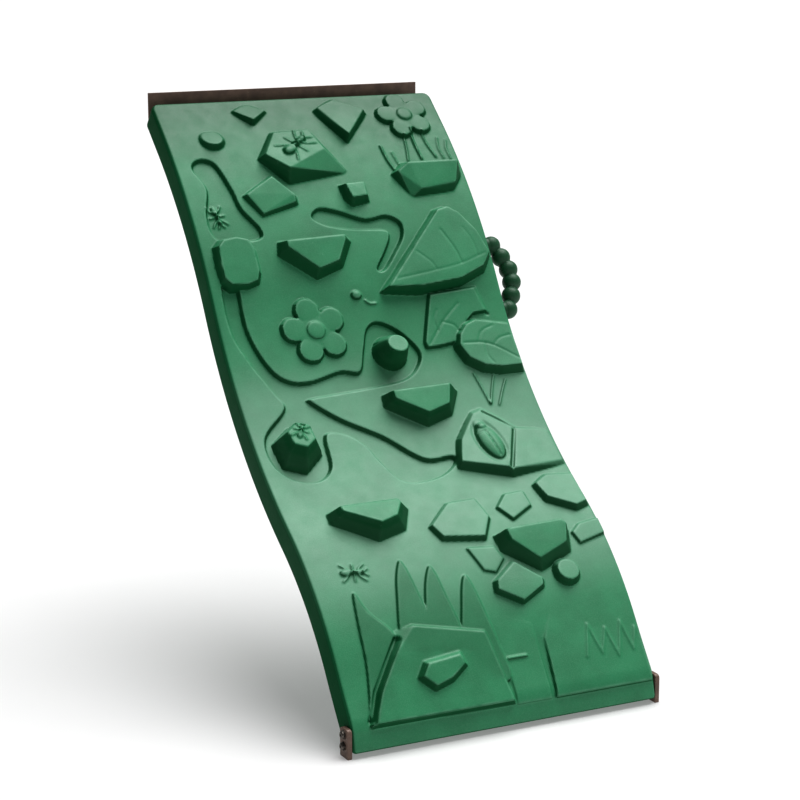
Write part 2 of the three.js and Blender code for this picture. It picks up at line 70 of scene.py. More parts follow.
SIDE_RADIUS = 9
TOP_RADIUS = 12
BASE_RADIUS = 9
EDGE_RADIUS = 10
CORNER_RADIUS = 24
PARTING_LINE = {"height": -38, "width": 3, "depth": 0.7}

FINE_STEP = 2.5
SIDE_STEP = 8
EDGE_TURNS = (0, 12, 24, 35, 45)  # grid lines over half of a rounded edge, in degrees
MAX_TRIANGLES = 190000
ROUNDING = 1.9  # how far the moulding softens the edges of its relief
CREST_BLUR = 1.0  # in grid steps
LOWEST_HOLD = 1.5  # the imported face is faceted, so less than this counts as flat
RAY_START = 120  # above the face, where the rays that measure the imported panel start
TINY = 1e-9

# Outlines of holes, as radius and distance into the panel.
KISS_OFF = (
    (0, -7), (51, -7), (47, -0.2), (42.2, 1.6), (39.6, 5.5), (37.6, 12), (26.6, 45), (24.6, 49.5),
    (21, 53), (16, 54), (0, 54),
)
DRAIN = ((0, -4), (6.6, -4), (6, 0.8), (6, 25), (0, 25))
DRAIN_SIDES = 24
KISS_OFF_ACROSS = (-235, 0, 235)
KISS_OFF_DOWN = (330, 620, 910, 1200, 1490)
DRAINS_ACROSS = (-300, 300)
SHEAR_LENGTH = 300  # above the base, where the cross-section turns from square to level


# ---- The curved face ----


def face_curve(down):
    """y, z and slope of the climbing face at distances down it."""
    down = np.asarray(down, float)
    y, z = FACE_TOP
    start = 0.0
    out_y, out_z, out_slope = (np.zeros(down.shape) for _ in range(3))
    for index, (length, slope_from, slope_to) in enumerate(FACE_ARCS):
        first = math.radians(slope_from)
        bend = (math.radians(slope_to) - first) / length
        last = index == len(FACE_ARCS) - 1
        here = (down >= start) | (index == 0)
        here &= last | (down < start + length)
        run = down - start
        chord = run * np.sinc(bend * run / (2 * math.pi))
        heading = first + bend * run / 2
        out_y = np.where(here, y - chord * np.cos(heading), out_y)
        out_z = np.where(here, z - chord * np.sin(heading), out_z)
        out_slope = np.where(here, first + bend * run, out_slope)
        whole = length * np.sinc(bend * length / (2 * math.pi))
        middle = first + bend * length / 2
        y -= whole * math.cos(middle)
        z -= whole * math.sin(middle)
        start += length
    return out_y, out_z, out_slope


def on_panel(across, down, height):
    """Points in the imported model's frame, in metres."""
    y, z, slope = face_curve(down)
    points = (across, y - height * np.sin(slope), z + height * np.cos(slope))
    return np.stack(np.broadcast_arrays(*points), axis=-1) * MM


# ---- Relief of the climbing face ----


def smooth_path(points, closed=False, steps=6):
    """A Catmull-Rom curve through given points."""
    points = np.array(points, float)
    if closed:
        padded = np.vstack([points[-1:], points, points[:2]])
    else:
        padded = np.vstack([2 * points[0] - points[1], points, 2 * points[-1] - points[-2]])
    t = np.linspace(0, 1, steps, endpoint=False)[:, None]
    pieces = []
    for p0, p1, p2, p3 in zip(padded[:-3], padded[1:-2], padded[2:-1], padded[3:]):
        bend = (2 * p0 - 5 * p1 + 4 * p2 - p3) * t**2 + (3 * p1 - p0 - 3 * p2 + p3) * t**3
        pieces.append(p1 + 0.5 * ((p2 - p0) * t + bend))
    return np.vstack(pieces + ([] if closed else [points[-1:]]))


def smoothstep(t):
    t = np.clip(t, 0, 1)
    return t * t * (3 - 2 * t)


def distance_to(points, across, down):
    nearest = np.full(across.shape, np.inf)
    for start, end in zip(points[:-1], points[1:]):
        along = end - start
        length = along @ along
        if length == 0:
            continue
        x, y = across - start[0], down - start[1]
        t = np.clip((x * along[0] + y * along[1]) / length, 0, 1)
        nearest = np.minimum(nearest, np.hypot(x - t * along[0], y - t * along[1]))
    return nearest


def inside(points, across, down):
    """True inside a closed outline."""
    found = np.zeros(across.shape, bool)
    for (x0, y0), (x1, y1) in zip(points, np.roll(points, -1, axis=0)):
        spans = (y0 > down) != (y1 > down)
        rise = y1 - y0 if y1 != y0 else 1.0
        found ^= spans & (across < x0 + (x1 - x0) * (down - y0) / rise)
    return found


class Relief:
    """Heights of the face above its smooth curve, in millimetres, on a grid."""

    def __init__(self, across, down):
        self.across = across
        self.down = down
        self.height = np.zeros((len(down), len(across)))

    def window(self, points, reach):
        low, high = points.min(0) - reach, points.max(0) + reach
        columns = slice(*np.searchsorted(self.across, (low[0], high[0])))
        rows = slice(*np.searchsorted(self.down, (low[1], high[1])))
        return (rows, columns), np.meshgrid(self.across[columns], self.down[rows])

    def line(self, points, width, height, smooth=True):
        """A raised line, or a groove where the height is negative, tapered to its ends."""
        points = smooth_path(points) if smooth else np.array(points, float)
        place, (across, down) = self.window(points, width)
        distance = distance_to(points, across, down)
        self.height[place] += height * (1 - smoothstep(2 * distance / width))

    def patch(self, points, height, wall=5, smooth=False, join=False):
        """A flat raised or sunken area with sloped walls; joined patches keep one height."""
        points = smooth_path(points, closed=True) if smooth else np.array(points, float)
        place, (across, down) = self.window(points, wall)
        closed = np.vstack([points, points[:1]])
        distance = distance_to(closed, across, down)
        signed = np.where(inside(points, across, down), distance, -distance)
        rise = height * smoothstep(signed / wall + 0.5)
        before = self.height[place]
        self.height[place] = np.maximum(before, rise) if join else before + rise

    def dome(self, centre, radii, height, turn=0.0):
        """A rounded bump on an ellipse."""
        reach = max(radii)
        place, (across, down) = self.window(np.array([centre], float), reach)
        x, y = across - centre[0], down - centre[1]
        c, s = math.cos(math.radians(turn)), math.sin(math.radians(turn))
        inside_share = 1 - ((x * c + y * s) / radii[0]) ** 2 - ((y * c - x * s) / radii[1]) ** 2
        self.height[place] += height * np.sqrt(np.clip(inside_share, 0, 1))


def blurred(field, sigma):
    """A Gaussian blur, sigma in grid steps, cut off past three sigma."""
    reach = int(3 * sigma) + 1
    kernel = np.exp(-0.5 * (np.arange(-reach, reach + 1) / sigma) ** 2)
    kernel /= kernel.sum()
    for axis in (0, 1):
        pad = [(reach, reach) if axis == i else (0, 0) for i in (0, 1)]
        padded = np.pad(field, pad, mode="edge")
        field = np.apply_along_axis(lambda row: np.convolve(row, kernel, "valid"), axis, padded)
    return field


def packed_heights(across, down):
    """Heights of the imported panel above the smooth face: the moulded holds."""
    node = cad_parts["wall_panel"]
    tree = BVHTree.FromPolygons(
        [v.co for v in node.data.vertices], [p.vertices for p in node.data.polygons]
    )
    y, z, slope = face_curve(down)
    heights = np.zeros((len(down), len(across)))
    for row, (row_y, row_z, row_slope) in enumerate(zip(y, z, slope)):
        inward = Vector((0, math.sin(row_slope), -math.cos(row_slope)))
        start = Vector((0, row_y, row_z)) * MM - inward * RAY_START * MM
        for column, x in enumerate(across):
            start.x = x * MM
            distance = tree.ray_cast(start, inward)[3]
            if distance is not None:
                heights[row, column] = RAY_START - distance / MM
    return np.where(heights < LOWEST_HOLD, 0, heights)


LOW_STONES = (  # outline, height
    (((146, 1282), (184, 1243), (239, 1240), (240, 1290), (174, 1325)), 8),
    (((18, 1385), (40, 1452), (70, 1462), (104, 1428), (92, 1392)), 6),
    (((312, 1384), (322, 1418), (402, 1398), (402, 1352), (340, 1362)), 7),
)
PLATES = (  # low plates that rise slowly out of the face: outline, height
    (((128, 1786), (139, 1640), (187, 1560), (396, 1563), (396, 1786)), 7),
    (((24, 1786), (20, 1560), (118, 1600), (118, 1786)), 4),
)
PLATE_RISE = (1560, 1720)  # where the plates start to stand out, and where they are at full height
SHEEN_BAND = (760, 900, 1400, 1600)  # painted sheen: the face is paler between the middle two distances down it
DECK_SHADE_END = 320  # painted shade of the deck above darkens the face down to here
LEAF_BEHIND = (
    (188, 640), (166, 700), (139, 772), (142, 788), (182, 786), (226, 780), (254, 757), (268, 730),
    (300, 704), (345, 700), (330, 630),
)
LEAF_BEHIND_HEIGHT = 10

TUNNEL_DEPTH = 11
TUNNELS = (  # worm tunnels sunk into the face
    ((-356, 232), (-345, 208), (-318, 202), (-292, 222), (-272, 300), (-262, 360), (-228, 420),
     (-240, 448), (-330, 448), (-357, 425), (-358, 370), (-336, 292)),
    ((-76, 396), (-50, 374), (0, 386), (70, 415), (130, 408), (165, 430), (160, 470), (122, 520),
     (85, 560), (66, 556), (100, 510), (124, 470), (118, 448), (60, 442), (0, 434), (-50, 420)),
    ((-330, 560), (-330, 690), (-300, 790), (-260, 836), (-200, 846), (-110, 826), (-58, 832),
     (-30, 772), (-5, 716), (30, 702), (80, 732), (120, 790), (104, 832), (60, 864), (-20, 876),
     (-130, 884), (-212, 890), (-214, 902), (-150, 960), (-60, 1020), (0, 1080), (40, 1105),
     (104, 1103), (99, 1127), (50, 1156), (-20, 1166), (-62, 1150), (-92, 1090), (-112, 1040),
     (-150, 1002), (-195, 990), (-212, 1010), (-225, 1090), (-270, 1126), (-332, 1112),
     (-368, 1060), (-362, 985), (-288, 912), (-300, 868), (-340, 780), (-370, 690), (-366, 560)),
)
GROOVES = (  # thin moulded lines: path, width, depth
    (((326, 636), (334, 668), (344, 706)), 13, 6),
)
STEMS = (  # raised stalks: path, width, height
    (((250, 868), (258, 910), (266, 962)), 9, 5),
    (((304, 882), (286, 920), (268, 962)), 9, 5),
    (((334, 896), (312, 930), (290, 968)), 9, 5),
    (((290, 140), (288, 190), (292, 240)), 10, 6),
    (((266, 160), (260, 200), (250, 244)), 9, 5),
    (((322, 150), (324, 190), (336, 236)), 9, 5),
    (((186, 190), (190, 235), (200, 272)), 11, 6),
    (((212, 212), (216, 240), (222, 262)), 8, 4),
    (((362, 170), (354, 205), (358, 240)), 8, 4),
    (((384, 180), (376, 210), (378, 244)), 8, 4),
    (((30, 1676), (78, 1676)), 12, 6),
    (((8, 640), (20, 650), (36, 650)), 9, 5),
)
BLADES = (  # blades of grass, from root to root over the tip
    ((-352, 1782), (-330, 1640), (-322, 1540), (-308, 1458), (-288, 1510), (-236, 1592), (-300, 1700)),
    ((-226, 1610), (-200, 1470), (-170, 1398), (-158, 1404), (-148, 1480), (-138, 1620)),
    ((-160, 1620), (-132, 1490), (-100, 1422), (-88, 1430), (-80, 1500), (-70, 1630)),
    ((-74, 1630), (-46, 1520), (-20, 1460), (-6, 1470), (6, 1560), (24, 1720), (-30, 1700)),
)
BLADE_HEIGHT = 6
SCRATCHED_GRASS = (
    (236, 1705), (262, 1625), (280, 1702), (306, 1640), (322, 1714), (352, 1630), (366, 1705),
    (386, 1650),
)
SCRATCH = {"width": 11, "height": 3}
GEM = ((-214, 1690), (-190, 1656), (-98, 1646), (-90, 1677), (-134, 1708), (-182, 1722))
GEM_HEIGHT = 16
GEM_WALL = 16
PEBBLE = {"centre": (-14, 624), "radii": (15, 13), "height": 9}

FLOWERS = (((291, 91), 0.87), ((-152, 712), 1.0))  # centre, size
PETALS = 5
FLOWER = {
    "petal": 34, "spread": 57, "middle": 44, "disc": 25, "height": 12, "disc_height": 17, "turn": 44,
}
FLATNESS = 0.06  # lower is flatter on top and steeper at the edge
ANTS = (  # centre, turn in degrees, length
    ((-66, 188), -38, 104), ((-330, 372), 80, 60), ((-288, 1002), -60, 54), ((-290, 1406), 5, 66),
)
# In lengths of the ant, along it unless said.
ANT_BODY = ((-0.3, 0.18), (0.02, 0.11), (0.28, 0.12))  # place and size of each part
ANT_BULGE = (1.15, 0.8)  # half length and half width of a part, in its size
ANT_HEIGHT = 0.11
ANT_LEGS = ((-0.1, -0.34), (0.02, 0.0), (0.12, 0.34))  # hip, and the leg's reach forward
ANT_KNEE = (0.5, 0.2)  # share of the reach, and distance aside
ANT_FOOT_ASIDE = 0.34
ANT_FEELER = (0.36, 0.56, 0.14)  # root, tip, and tip's distance aside
ANT_LEG = {"width": 8, "height": 5}
BEETLE = {"centre": (209, 1086), "radii": (31, 60), "turn": -8}
# In half widths and half lengths of the beetle's shell, with heights in millimetres.
BEETLE_HEIGHT = 17
BEETLE_DISH = (1.3, 1.25, -6)
BEETLE_HEAD = (0.95, 0.55, 0.3, 7)  # place, radii, height
BEETLE_SPLIT = (-0.85, 0.5)
BEETLE_SHOULDER = 0.75
SPLIT_LINE = (6, -4)
SHOULDER_LINE = (6, -3)
SHARP_GROOVES = (  # along the beetle stone's right edges and the ground slab's left one
    (((232, 988), (297, 1047), (235, 1172)), 16, 9),
    (((-351, 1766), (-322, 1702), (-240, 1588)), 24, 10),
)

LEAF_VEINS = (  # grooves in the leaves: path, width, depth
    (((98, 599), (199, 586), (288, 572), (366, 548)), 7, 1.4),
    (((214, 582), (206, 562), (173, 528)), 6, 1.4),
    (((292, 570), (282, 527), (258, 472)), 7, 2),
    (((344, 554), (340, 510), (322, 470)), 6, 1.2),
    (((152, 780), (205, 720), (262, 672)), 7, 3),
    (((186, 742), (182, 712), (196, 684)), 6, 2.5),
    (((206, 720), (234, 732), (244, 752)), 6, 2.5),
    (((240, 790), (310, 800), (384, 850)), 7, 2.5),
    (((280, 793), (300, 762), (336, 748)), 6, 2),
    (((322, 804), (346, 786), (378, 780)), 6, 2),
    (((300, 798), (296, 832), (308, 858)), 6, 2),
)


def flower(relief, centre, size):
    """Flat petals melted together around a raised disc."""
    petal, spread, middle, disc = (size * FLOWER[key] for key in ("petal", "spread", "middle", "disc"))
    low = FLOWER["height"]
    place, (across, down) = relief.window(np.array([centre], float), spread + petal)
    circles = [(0, 0, middle, low), (0, 0, disc, FLOWER["disc_height"])]
    for turn in np.radians(FLOWER["turn"] + np.arange(PETALS) * 360 / PETALS):
        circles.append((spread * math.cos(turn), spread * math.sin(turn), petal, low))
    top = np.zeros(across.shape)
    for x, y, radius, height in circles:
        distance = np.hypot(across - centre[0] - x, down - centre[1] - y)
        share = np.clip(1 - (distance / radius) ** 2, 0, 1)
        top = np.maximum(top, height * share**FLATNESS)
    relief.height[place] += top


def ant(relief, centre, turn, length):
    """Three round body parts in a row, six bent legs and two feelers."""
    along = np.array([math.cos(math.radians(turn)), math.sin(math.radians(turn))])
    aside = np.array([-along[1], along[0]])
    centre = np.array(centre, float)
    for place, size in ANT_BODY:
        middle = centre + place * length * along
        radii = [share * size * length for share in ANT_BULGE]
        relief.dome(middle, radii, ANT_HEIGHT * length, turn)
    knee_share, knee_aside = ANT_KNEE
    for hip, reach in ANT_LEGS:
        for side in (-1, 1):
            root = centre + hip * length * along
            knee = root + length * (knee_share * reach * along + knee_aside * side * aside)
            foot = root + length * (reach * along + ANT_FOOT_ASIDE * side * aside)
            relief.line((root, knee, foot), **ANT_LEG)
    feeler_root, feeler_tip, tip_aside = ANT_FEELER
    for side in (-1, 1):
        head = centre + feeler_root * length * along
        tip = centre + length * (feeler_tip * along + tip_aside * side * aside)
        relief.line((head, tip), **ANT_LEG)


def beetle(relief, centre, radii, turn):
    """A domed shell in a shallow dish, with a split down its middle and a head."""
    along = np.array([math.sin(math.radians(turn)), -math.cos(math.radians(turn))])
    aside = np.array([-along[1], along[0]])
    centre = np.array(centre, float)
    width, length = radii
    wider, longer, dish_height = BEETLE_DISH
    relief.dome(centre, (wider * width, longer * length), dish_height, turn)
    relief.dome(centre, radii, BEETLE_HEIGHT, turn)
    place, narrower, shorter, head_height = BEETLE_HEAD
    head = centre + place * length * along
    relief.dome(head, (narrower * width, shorter * length), head_height, turn)
    tail, shoulder = (centre + share * length * along for share in BEETLE_SPLIT)
    relief.line((tail, shoulder), *SPLIT_LINE)
    half = BEETLE_SHOULDER * width * aside
    relief.line((shoulder - half, shoulder + half), *SHOULDER_LINE)


def face_relief(across, down):
    """All that is moulded into the climbing face, and where it is blades of grass."""
    relief = Relief(across, down)
    for outline in TUNNELS:
        relief.patch(outline, -TUNNEL_DEPTH, smooth=True)
    for outline, height in LOW_STONES:
        relief.patch(outline, height)
    relief.patch(LEAF_BEHIND, LEAF_BEHIND_HEIGHT)
    grass = Relief(across, down)
    for outline in BLADES:
        grass.patch(outline, BLADE_HEIGHT, smooth=True, join=True)
    relief.height += grass.height
    plates = Relief(across, down)
    for outline, height in PLATES:
        plates.patch(outline, height)
    start, full = PLATE_RISE
    relief.height += plates.height * smoothstep((down[:, None] - start) / (full - start))
    for path, width, depth in GROOVES:
        relief.line(path, width, -depth)
    for path, width, height in STEMS:
        relief.line(path, width, height)
    for centre, size in FLOWERS:
        flower(relief, centre, size)
    relief.dome(**PEBBLE)

    holds = packed_heights(across, down)
    relief.height = np.where(holds > 0, np.maximum(relief.height, holds), relief.height)
    relief.patch(GEM, GEM_HEIGHT, wall=GEM_WALL)
    for path, width, depth in LEAF_VEINS:
        relief.line(path, width, -depth)
    for path, width, depth in SHARP_GROOVES:
        relief.line(path, width, -depth, smooth=False)
    relief.line(SCRATCHED_GRASS, smooth=False, **SCRATCH)
    for centre, turn, length in ANTS:
        ant(relief, centre, turn, length)
    beetle(relief, **BEETLE)
    sigma = ROUNDING / FINE_STEP
    return blurred(relief.height, sigma), blurred(grass.height / BLADE_HEIGHT, sigma)


# ---- Mesh helpers ----

BEVEL_SEGMENTS = 3
BEVEL_ANGLE = 35
SHARP_ANGLE = {"green_plastic": 40, "brown_powder_coat": 30, "stainless_steel": 30, "brass_insert": 30}
UPRIGHT = Matrix(((0, 0, 1, 0), (1, 0, 0, 0), (0, 1, 0, 0), (0, 0, 0, 1)))  # turns X to Y and Y to Z


def add_object(name, data):
    piece = bpy.data.objects.new(name, data)
    bpy.context.scene.collection.objects.link(piece)
    return piece


def add_bmesh(name, bm):
    bmesh.ops.recalc_face_normals(bm, faces=bm.faces)
    mesh = bpy.data.meshes.new(name)
    bm.to_mesh(mesh)
    bm.free()
    return add_object(name, mesh)


def apply_modifiers(piece):
    graph = bpy.context.evaluated_depsgraph_get()
    mesh = bpy.data.meshes.new_from_object(piece.evaluated_get(graph))
    piece.modifiers.clear()
    piece.data = mesh


def cut_away(piece, tools, solver="EXACT"):
    """Cuts the tool meshes out of a piece and deletes them."""
    for tool in tools:
        cutter = piece.modifiers.new("cut", "BOOLEAN")
        cutter.operation = "DIFFERENCE"
        cutter.solver = solver
        cutter.object = tool
    apply_modifiers(piece)
    for tool in tools:
        bpy.data.objects.remove(tool)


def add_ring(bm, radii, z):
    """Points about Z, one for each radius, in millimetres."""
    turns = [2 * math.pi * i / len(radii) for i in range(len(radii))]
    places = [(r * math.cos(t), r * math.sin(t), z) for r, t in zip(radii, turns)]
    return [bm.verts.new(Vector(place) * MM) for place in places]


def bridge(bm, rings):
    """Faces between rings of points, where a ring may be a single point."""
    for lower, upper in zip(rings, rings[1:]):
        for i in range(max(len(lower), len(upper))):
            corners = [lower[i % len(lower)], lower[(i + 1) % len(lower)]]
            corners += [upper[(i + 1) % len(upper)], upper[i % len(upper)]]
            unique = list(dict.fromkeys(corners))
            if len(unique) > 2:
                bm.faces.new(unique)


def turned(profile, sides=40, closed=False):
    """A turned solid about Z; the profile's points are (radius or radii, z) in millimetres."""
    bm = bmesh.new()
    rings = []
    for radius, z in profile:
        radii = radius if isinstance(radius, list) else [radius] * (sides if radius else 1)
        rings.append(add_ring(bm, radii, z))
    bridge(bm, rings + rings[:1] if closed else rings)
    return bm


def extruded(outline, depth):
    """A flat outline in (x, y), extruded along Z about z = 0, in millimetres."""
    bm = bmesh.new()
    bottom = [bm.verts.new(Vector((x, y, -depth / 2)) * MM) for x, y in outline]
    top = [bm.verts.new(Vector((x, y, depth / 2)) * MM) for x, y in outline]
    bm.faces.new(bottom)
    bm.faces.new(top)
    for i in range(len(outline)):
        j = (i + 1) % len(outline)
        bm.faces.new((bottom[i], bottom[j], top[j], top[i]))
    return bm


def arc(centre, radius, start, end, steps=8):
    """Points on an arc; angles in degrees."""
    turns = np.radians(np.linspace(start, end, steps + 1))
    return [(centre[0] + radius * math.cos(t), centre[1] + radius * math.sin(t)) for t in turns]


def bevel(piece, width):
    """Rounds off edges sharper than the bevel angle."""
    rounder = piece.modifiers.new("bevel", "BEVEL")
    rounder.width = width * MM
    rounder.segments = BEVEL_SEGMENTS
    rounder.limit_method = "ANGLE"
    rounder.angle_limit = math.radians(BEVEL_ANGLE)
    apply_modifiers(piece)


def axis_frame(point, axis):
    """Stands a shape's +Z on an axis at a point."""
    return Matrix.Translation(point) @ Vector(axis).to_track_quat("Z", "Y").to_matrix().to_4x4()


def box_centre(node):
    low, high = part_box(node)
    return (low + high) / 2


def finish_piece(piece, material, slot, node):
    """Shades a piece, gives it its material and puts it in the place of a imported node."""
    piece.data.polygons.foreach_set("use_smooth", [True] * len(piece.data.polygons))
    piece.data.set_sharp_from_angle(angle=math.radians(SHARP_ANGLE[slot]))
    piece.data.materials.clear()
    piece.data.materials.append(material)
    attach(piece, "root")
    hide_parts(node)


# ---- The panel ----


def edge_lines(low, high, radius_low, radius_high, step):
    """Grid lines from low to high, closer together over its rounded ends."""
    near = [low + radius_low * (1 - math.tan(math.radians(t))) for t in reversed(EDGE_TURNS)]
    far = [high - radius_high * (1 - math.tan(math.radians(t))) for t in EDGE_TURNS]
    count = max(2, round((far[0] - near[-1]) / step))
    middle = np.linspace(near[-1], far[0], count + 1)[1:-1]
    return np.concatenate([near, middle, far])


def rounded(points, low, high, radii_low, radii_high):
    """Box surface points moved onto the box with rounded edges."""
    inner = np.clip(points, low + radii_low, high - radii_high)
    offset = points - inner
    radii = np.where(offset < 0, radii_low, radii_high)
    scaled = offset / radii
    length = np.linalg.norm(scaled, axis=-1, keepdims=True)
    return inner + radii * scaled / np.maximum(length, TINY)


def box_surface(shape):
    """Vertex places and faces of a closed box of grid lines."""
    on_edge = np.zeros(shape, bool)
    for axis in range(3):
        end = [slice(None)] * 3
        for side in (0, -1):
            end[axis] = side
            on_edge[tuple(end)] = True
    number = np.full(shape, -1)
    number[on_edge] = np.arange(on_edge.sum())
    faces = []
    for axis in range(3):
        for side in (0, -1):
            sheet = np.take(number, side, axis=axis)
            quads = np.stack([sheet[:-1, :-1], sheet[1:, :-1], sheet[1:, 1:], sheet[:-1, 1:]], axis=-1)
            outward = (axis == 1) != (side == -1)
            faces.append(quads.reshape(-1, 4)[:, :: 1 if outward else -1])
    return np.argwhere(on_edge), np.vstack(faces)


def mesh_from(name, points, faces):
    mesh = bpy.data.meshes.new(name)
    mesh.from_pydata(points, [], faces)
    mesh.validate()
    return mesh


def store_points(mesh, name, values):
    layer = mesh.attributes.new(name, "FLOAT", "POINT")
    layer.data.foreach_set("value", values.astype(np.float32))


def crests(relief):
    """How much higher each point of the relief is than its neighbours: its rubbed edges."""
    bend = np.zeros(relief.shape)
    around = (relief[:-2, 1:-1], relief[2:, 1:-1], relief[1:-1, :-2], relief[1:-1, 2:])
    bend[1:-1, 1:-1] = relief[1:-1, 1:-1] - sum(around) / len(around)
    return blurred(bend, CREST_BLUR) / FINE_STEP


def panel_grid():
    """The outside of the panel before its holes are cut."""
    low = np.array([-PANEL_WIDTH / 2, 0, -PANEL_THICKNESS])
    high = np.array([PANEL_WIDTH / 2, FACE_LENGTH, 0])
    radii_low = np.array([SIDE_RADIUS, TOP_RADIUS, EDGE_RADIUS])
    radii_high = np.array([SIDE_RADIUS, BASE_RADIUS, EDGE_RADIUS])
    steps = (FINE_STEP, FINE_STEP, SIDE_STEP)
    lines = [edge_lines(*ends) for ends in zip(low, high, radii_low, radii_high, steps)]
    places, faces = box_surface(tuple(len(line) for line in lines))
    flat = np.stack([line[places[:, axis]] for axis, line in enumerate(lines)], axis=-1)
    across, down, height = rounded(flat, low, high, radii_low, radii_high).T

    climbed = 1 - smoothstep(-height / EDGE_RADIUS)
    relief, grass = face_relief(lines[0], lines[1])
    front = places[:, 2] == len(lines[2]) - 1
    height[front] += relief[places[front, 1], places[front, 0]]
    side = (places[:, 0] == 0) | (places[:, 0] == len(lines[0]) - 1)
    groove = 1 - smoothstep(np.abs(height - PARTING_LINE["height"]) / PARTING_LINE["width"])
    across -= np.sign(across) * side * groove * PARTING_LINE["depth"]

    corner = np.clip(CORNER_RADIUS - down, 0, CORNER_RADIUS)
    narrowing = CORNER_RADIUS - np.sqrt(CORNER_RADIUS**2 - corner**2)
    across *= 1 - narrowing / (PANEL_WIDTH / 2)

    base_slope = float(face_curve(FACE_LENGTH)[2])
    share = np.clip(1 - (FACE_LENGTH - down) / SHEAR_LENGTH, 0, 1)
    below_face = np.minimum(height, 0)
    down += share * below_face / math.tan(base_slope)
    points = on_panel(across, down, height)
    points[:, 2] = np.maximum(points[:, 2], PANEL_BASE_Z * MM)

    mesh = mesh_from("wall_panel_skin", points, faces)
    for name, field in (("crest", crests(relief)), ("raised", relief), ("grass", grass)):
        values = np.zeros(len(points))
        values[front] = field[places[front, 1], places[front, 0]]
        store_points(mesh, name, values)
    store_points(mesh, "climbed", climbed)
    store_points(mesh, "slope", face_curve(down)[2])
    # Painted sheen: a paler band across the middle of the face.
    first, full, last, gone = SHEEN_BAND
    painted_sheen = smoothstep((down - first) / (full - first)) * smoothstep((gone - down) / (gone - last))
    store_points(mesh, "painted_sheen", painted_sheen)
    # Painted shade of the deck above: darkest at the top edge, fading down the face.
    store_points(mesh, "dripped", smoothstep(1 - down / DECK_SHADE_END))
    return add_object("wall_panel_skin", mesh)


def kiss_off_tool(across, down):
    """A blind cone up from the panel's back."""
    slope = float(face_curve(down)[2])
    outward = Vector((0, -math.sin(slope), math.cos(slope)))
    tool = add_bmesh("tool", turned(KISS_OFF))
    tool.data.transform(axis_frame(Vector(on_panel(across, down, -PANEL_THICKNESS)), outward))
    return tool


def drain_tool(across):
    """A hole up into the panel's base."""
    tool = add_bmesh("tool", turned(DRAIN, DRAIN_SIDES))
    y = float(face_curve(FACE_LENGTH)[0]) + PANEL_THICKNESS / 2
    tool.data.transform(Matrix.Translation(Vector((across, y, PANEL_BASE_Z)) * MM))
    return tool


def wall_panel(material):
    """The moulded panel with its pockets and drains cut out."""
    panel = panel_grid()
    triangles = 2 * len(panel.data.polygons)
    if triangles > MAX_TRIANGLES:
        thin = panel.modifiers.new("thin", "DECIMATE")
        thin.ratio = MAX_TRIANGLES / triangles
        apply_modifiers(panel)
    tools = [kiss_off_tool(across, down) for down in KISS_OFF_DOWN for across in KISS_OFF_ACROSS]
    tools += [at_fastener(turned(POCKET, HOLE_SIDES), name, "insert") for name in FASTENERS]
    tools += [drain_tool(across) for across in DRAINS_ACROSS]
    cut_away(panel, tools, "MANIFOLD")
    panel.name = "climbing_panel"
    finish_piece(panel, material, "green_plastic", "wall_panel")


# ---- Hardware ----

DECK_SLOPE = math.radians(FACE_ARCS[0][1])
DECK_AXIS = (0, math.sin(DECK_SLOPE), -math.cos(DECK_SLOPE))
FASTENERS = {f"deck_angle_{i}": DECK_AXIS for i in range(1, 5)}
FASTENERS |= {f"foot_left_{level}": (-1, 0, 0) for level in ("lower", "upper")}
FASTENERS |= {f"foot_right_{level}": (1, 0, 0) for level in ("lower", "upper")}
FASTENERS |= {f"grip_{end}": (1, 0, 0) for end in ("upper", "lower")}

# Outlines of turned shapes, as radius and distance out of the panel from a part's face.
INSERT_LENGTH = 20
INSERT_FOOT = ((0, -20), (7.2, -20), (7.9, -19.2))
INSERT_WAIST = ((7, -12), (7, -8))
INSERT_MOUTH = ((7.9, -0.4), (7.5, 0), (5.6, 0), (5.1, -0.6), (5.1, -17.5), (0, -17.5))
INSERT_SIDES = 60
KNURL_RADIUS = 7.9
KNURL_BANDS = ((-18.4, -13.2), (-6.8, -1.6))
KNURL_ROWS = 6
KNURL_DEPTH = 0.05  # share of the radius
POCKET = ((0, -21), (8.3, -21), (8.3, 4), (0, 4))  # a little larger than the insert in it
WASHER_THICKNESS = 2
WASHER = (
    (5.4, 0.2), (5.6, 0), (10.1, 0), (10.5, 0.4), (10.5, 1.6), (10.1, 2), (5.6, 2), (5.4, 1.8),
)
WASHER_SIDES = 48
HOLE_SIDES = 32
BOLT_SIDES = 24
# The brim is a share of the head's height, the flat top one of its radius.
BOLT_HEAD = {"radius": 9, "height": 5.5, "chamfer": 0.5, "brim": 0.28, "flat": 0.4}
BOLT_DOME = {"below": 0.35, "rise": 0.63, "from": 33, "to": 66, "steps": 6}  # in head radii, degrees
SOCKET = {"radius": 3.2, "depth": 3.3}
THREAD = {"radius": 4.8, "depth": 0.55, "pitch": 1.5, "rows": 6}
BOLT_HOLE = 5.5  # radius


def fastener_frame(name, part):
    """Frame on the outer face of an insert or the inner face of a washer, +Z out of the panel."""
    axis = Vector(FASTENERS[name])
    to_face = {"insert": INSERT_LENGTH / 2, "washer": -WASHER_THICKNESS / 2}
    return axis_frame(box_centre(f"{name}_{part}") + axis * to_face[part] * MM, axis)


def at_fastener(bm, name, part):
    """A tool that stands on a fastener's part."""
    tool = add_bmesh("tool", bm)
    tool.data.transform(fastener_frame(name, part))
    return tool


def bolt_holes(names, reach):
    """Drills that go through a bracket at its washers, reaching as far on both sides."""
    drill = [(0, -reach), (BOLT_HOLE, -reach), (BOLT_HOLE, reach), (0, reach)]
    return [at_fastener(turned(drill, HOLE_SIDES), name, "washer") for name in names]


